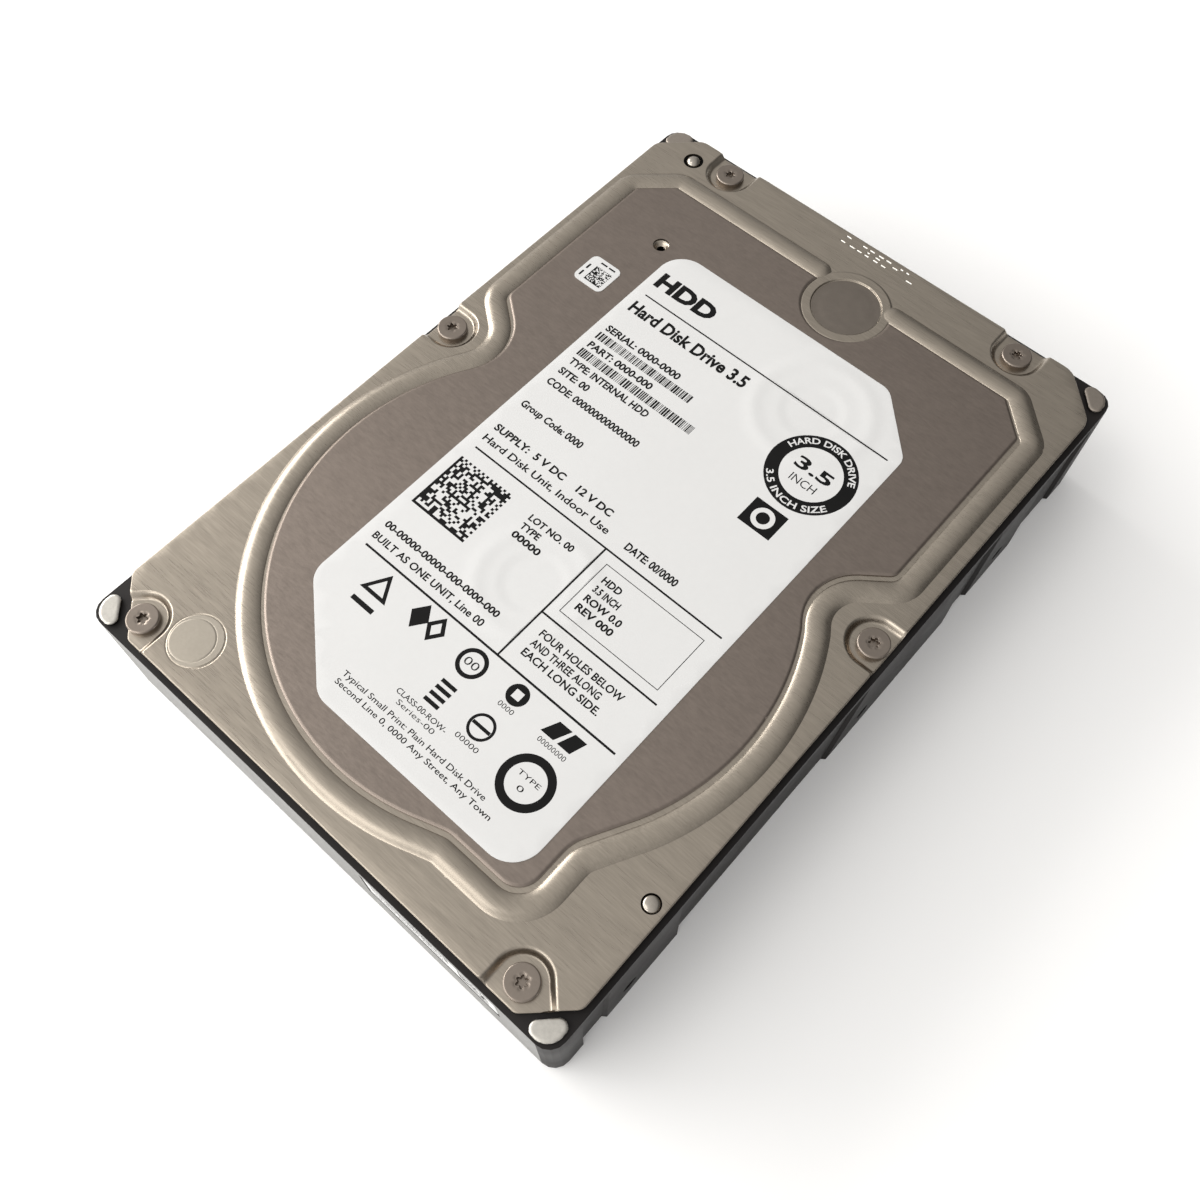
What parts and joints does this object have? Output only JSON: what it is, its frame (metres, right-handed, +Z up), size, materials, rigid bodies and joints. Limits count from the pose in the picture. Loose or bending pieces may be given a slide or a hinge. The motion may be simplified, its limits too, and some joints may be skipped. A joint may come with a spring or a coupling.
{
  "type": "hard disk drive",
  "caption": "Desktop hard disk drive: cast base, brushed cover with raised bead and label, circuit board and serial connector underneath, turning disk and swinging head arm inside.",
  "frame": {"origin": "bottom centre of the drive: centre of the outline, at the level of the base's underside", "axes": "+Z up through the top cover; +Y towards the connector end, along the long sides; +X towards the right-hand long side seen from above with the connector end away"},
  "size_m": [0.1016, 0.147, 0.0261],
  "materials": {
    "black_casting": "dark coated casting, semi-matt",
    "brushed_cover": "brushed, satin",
    "damper_sheet": "fine satin",
    "black_rubber": "matt",
    "nickel_screw": "satin plated",
    "polished_pin": "turned",
    "label_paper": "satin film",
    "foil_seal": "satin foil",
    "breather_film": "satin film",
    "green_board": "solder mask",
    "foam_insulator": "foam",
    "black_plastic": "moulded",
    "chip_package": "moulded",
    "bare_aluminium": "machined",
    "platter_coating": "mirror polished",
    "motor_steel": "satin",
    "enamelled_copper": "enamelled wire",
    "plated_magnet": "nickel plated",
    "ivory_plastic": "moulded",
    "amber_film": "film",
    "filter_cloth": "felt"
  },
  "bodies": {
    "base": {"base_casting": "black_casting", "board_insulator": "foam_insulator", "board_screw_1": "nickel_screw", "board_screw_2": "nickel_screw", "board_screw_3": "nickel_screw", "board_screw_4": "nickel_screw", "breather_seal": "breather_film", "circuit_board": "green_board", "controller_chip": "chip_package", "cover_gasket": "black_rubber", "cover_screw_front_left": "nickel_screw", "cover_screw_front_right": "nickel_screw", "cover_screw_mid_left": "nickel_screw", "cover_screw_mid_right": "nickel_screw", "cover_screw_rear_left": "nickel_screw", "cover_screw_rear_right": "nickel_screw", "crash_stop": "black_rubber", "damper_plate": "damper_sheet", "data_sticker": "label_paper", "end_sticker": "label_paper", "flex_bracket": "black_plastic", "head_flex_cable": "amber_film", "interface_connector": "black_plastic", "load_ramp": "ivory_plastic", "locating_pin": "polished_pin", "locating_stud": "polished_pin", "lower_magnet": "plated_magnet", "lower_magnet_plate": "motor_steel", "main_label": "label_paper", "memory_chip": "chip_package", "motor_driver_chip": "chip_package", "pin_header": "black_plastic", "pivot_cover_screw": "nickel_screw", "pivot_shaft": "bare_aluminium", "rear_foil_seal": "foil_seal", "recirculation_filter": "filter_cloth", "spindle_cover_screw": "nickel_screw", "spindle_shaft": "bare_aluminium", "stator_core": "motor_steel", "stator_winding": "enamelled_copper", "top_cover": "brushed_cover", "upper_magnet": "plated_magnet", "upper_magnet_plate": "motor_steel"},
    "spindle": {"spindle_hub": "bare_aluminium", "rotor_magnet": "plated_magnet", "platter": "platter_coating", "disk_clamp": "bare_aluminium", "clamp_screw_1": "nickel_screw", "clamp_screw_2": "nickel_screw", "clamp_screw_3": "nickel_screw"},
    "actuator": {"actuator_arm": "bare_aluminium", "pivot_bearing": "nickel_screw", "voice_coil": "enamelled_copper", "coil_frame": "black_plastic", "suspension_upper": "polished_pin", "suspension_lower": "polished_pin", "slider_upper": "chip_package", "slider_lower": "chip_package"},
    "latch": {"latch_lever": "ivory_plastic"}
  },
  "joints": [
    {"name": "spindle_spin", "type": "hinge", "parent": "base", "child": "spindle", "pos_m": [0, -0.0228, 0], "axis": [0, 0, 1], "continuous": true},
    {"name": "actuator_swing", "type": "hinge", "parent": "base", "child": "actuator", "pos_m": [0.013, 0.034, 0], "axis": [0, 0, 1], "range_deg": [0, 35], "deforming": ["head_flex_cable"]},
    {"name": "latch_swing", "type": "hinge", "parent": "base", "child": "latch", "pos_m": [0.0445, 0.033, 0], "axis": [0, 0, 1], "range_deg": [-8, 8]}
  ]
}
